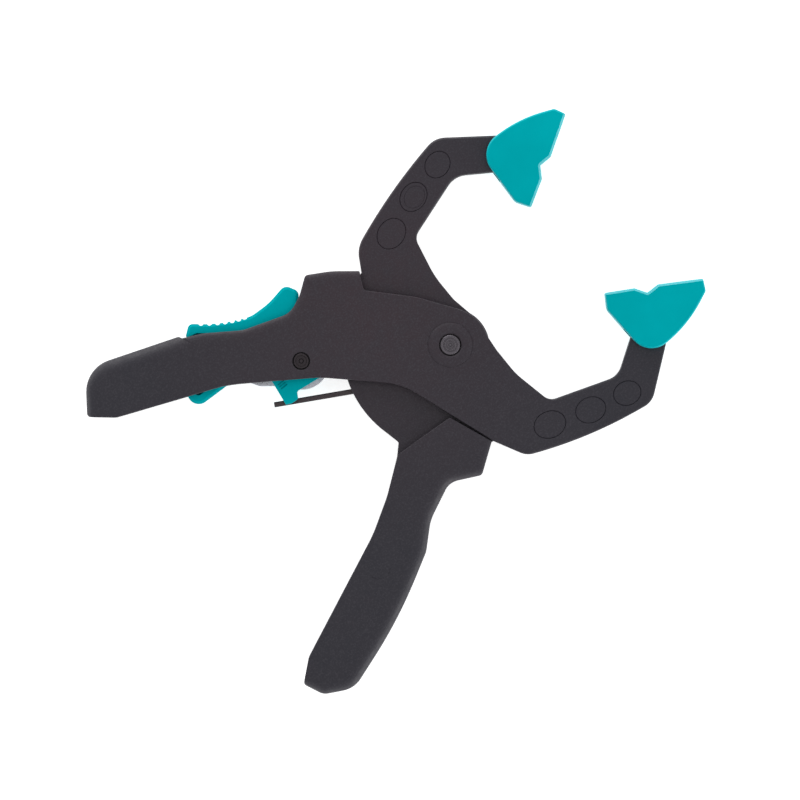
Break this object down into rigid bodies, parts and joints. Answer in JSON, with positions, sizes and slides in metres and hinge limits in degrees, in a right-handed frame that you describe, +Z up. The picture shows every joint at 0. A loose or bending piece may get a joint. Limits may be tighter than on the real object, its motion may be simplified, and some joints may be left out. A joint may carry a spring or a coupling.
{
  "type": "locking spring clamp",
  "caption": "Hand-squeezed locking spring clamp: crossed levers on a rivet, swivelling jaw pads with a vee, a steel locking strip and a release lever in the handle.",
  "frame": {"origin": "main pivot's axis where it meets the surface that the clamp lies on, at the centre of the rivet's flush back head", "axes": "+Z up along the main pivot, +X along the clamp's centre line towards the jaws, +Y towards the handle that carries the release lever"},
  "size_m": [0.1695, 0.1228, 0.0163],
  "materials": {
    "lever_nylon": "charcoal glass-filled nylon, fine moulded grain",
    "teal_plastic": "satin teal moulding",
    "turned_steel": "turned, grey",
    "zinc_steel": "zinc-plated pressing",
    "black_steel": "blackened spring steel"
  },
  "bodies": {
    "outer": {"outer_lever": "lever_nylon", "main_rivet": "turned_steel", "main_rivet_washer": "zinc_steel", "release_pin": "turned_steel", "release_pin_washer": "zinc_steel", "pad_pin_lower": "turned_steel", "pivot_sleeve": "turned_steel", "opening_spring": "black_steel", "release_spring": "black_steel"},
    "inner": {"inner_lever": "lever_nylon", "anchor_pin": "turned_steel", "pad_pin_upper": "turned_steel"},
    "strip": {"lock_strip": "black_steel"},
    "trigger": {"release_lever": "teal_plastic", "lock_plate_front": "zinc_steel", "lock_plate_rear": "zinc_steel", "locking_foot": "teal_plastic", "grip_plate": "black_steel", "lock_rivet": "turned_steel"},
    "pad_upper": {"jaw_pad_upper": "teal_plastic"},
    "pad_lower": {"jaw_pad_lower": "teal_plastic"}
  },
  "joints": [
    {"name": "main_pivot", "type": "hinge", "parent": "outer", "child": "inner", "pos_m": [0, 0, 0.008], "axis": [0, 0, 1], "range_deg": [-40, 0], "stiffness_Nm_per_rad": 0.15, "springref_deg": 34.38, "deforming": ["opening_spring"]},
    {"name": "strip_slide", "type": "slide", "parent": "outer", "child": "strip", "axis": [-0.8721, 0.4894, 0], "range_m": [0, 0.0064]},
    {"name": "release_pivot", "type": "hinge", "parent": "outer", "child": "trigger", "pos_m": [-0.0378, 0.0244, 0.008], "axis": [0, 0, 1], "range_deg": [-5, 0], "stiffness_Nm_per_rad": 0.05, "springref_deg": 17.19, "deforming": ["release_spring"]},
    {"name": "pad_upper_swivel", "type": "hinge", "parent": "inner", "child": "pad_upper", "pos_m": [0.05205, 0.03095, 0.008], "axis": [0, 0, 1], "range_deg": [-12, 0]},
    {"name": "pad_lower_swivel", "type": "hinge", "parent": "outer", "child": "pad_lower", "pos_m": [0.053, -0.03115, 0.008], "axis": [0, 0, 1], "range_deg": [0, 12]}
  ],
  "couplings": [
    {"joint": "strip_slide", "follows": "main_pivot", "m_per_rad": -0.008915}
  ]
}
